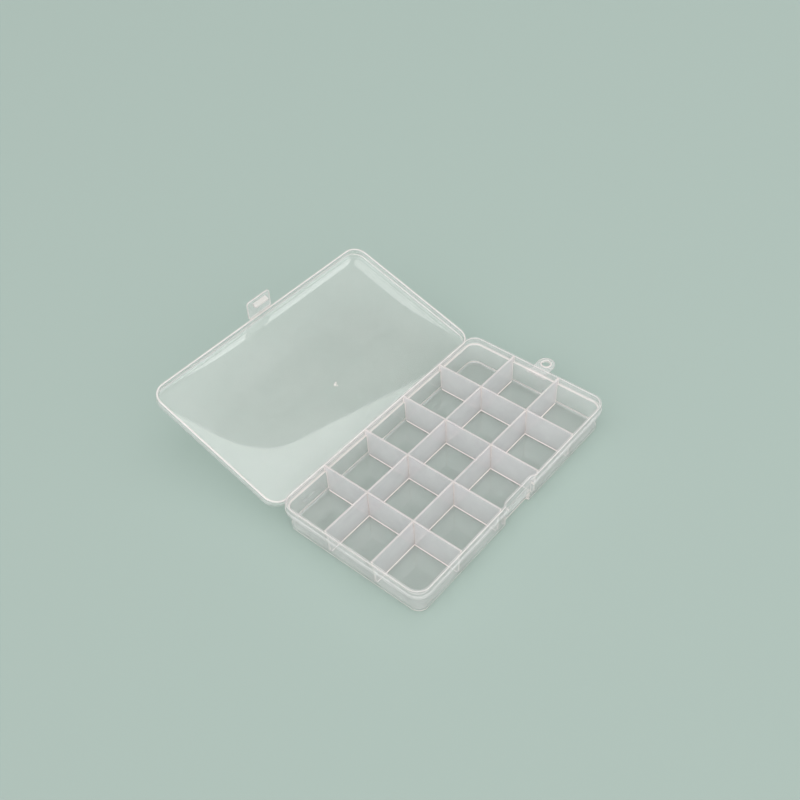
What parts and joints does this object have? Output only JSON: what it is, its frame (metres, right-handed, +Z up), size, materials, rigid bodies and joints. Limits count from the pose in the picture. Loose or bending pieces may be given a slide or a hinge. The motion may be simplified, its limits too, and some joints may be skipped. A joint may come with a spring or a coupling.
{
  "type": "compartment organizer box",
  "caption": "Clear hinged-lid organizer box for beads: a tray of crossed dividers, a film-hinged lid, a snap latch tab and a hanging loop.",
  "frame": {"origin": "centre of the tray's bottom face", "axes": "+X to the short wall with the hanging loop, +Y to the long wall with the lid hinge, +Z up"},
  "size_m": [0.1893, 0.196, 0.0591],
  "materials": {
    "clear_plastic": "clear polypropylene, glossy",
    "milky_plastic": "milky polypropylene, satin",
    "film_plastic": "whitened thin polypropylene film"
  },
  "bodies": {
    "tray_body": {"tray": "clear_plastic", "hanging_loop": "clear_plastic", "long_divider_1": "milky_plastic", "long_divider_2": "milky_plastic", "cross_divider_1": "milky_plastic", "cross_divider_2": "milky_plastic", "cross_divider_3": "milky_plastic", "cross_divider_4": "milky_plastic", "hinge_strip": "film_plastic"},
    "lid_body": {"lid": "clear_plastic", "tab_film": "film_plastic"},
    "latch_body": {"latch_tab": "clear_plastic", "latch_hook": "milky_plastic"}
  },
  "joints": [
    {"name": "lid_hinge", "type": "hinge", "parent": "tray_body", "child": "lid_body", "pos_m": [0, 0.04993, 0.01565], "axis": [1, 0, 0], "range_deg": [-18, 162], "deforming": ["hinge_strip"]},
    {"name": "tab_fold", "type": "hinge", "parent": "lid_body", "child": "latch_body", "pos_m": [0, 0.145, 0.04628], "axis": [1, 0, 0], "range_deg": [-74, 16], "deforming": ["tab_film"]}
  ]
}
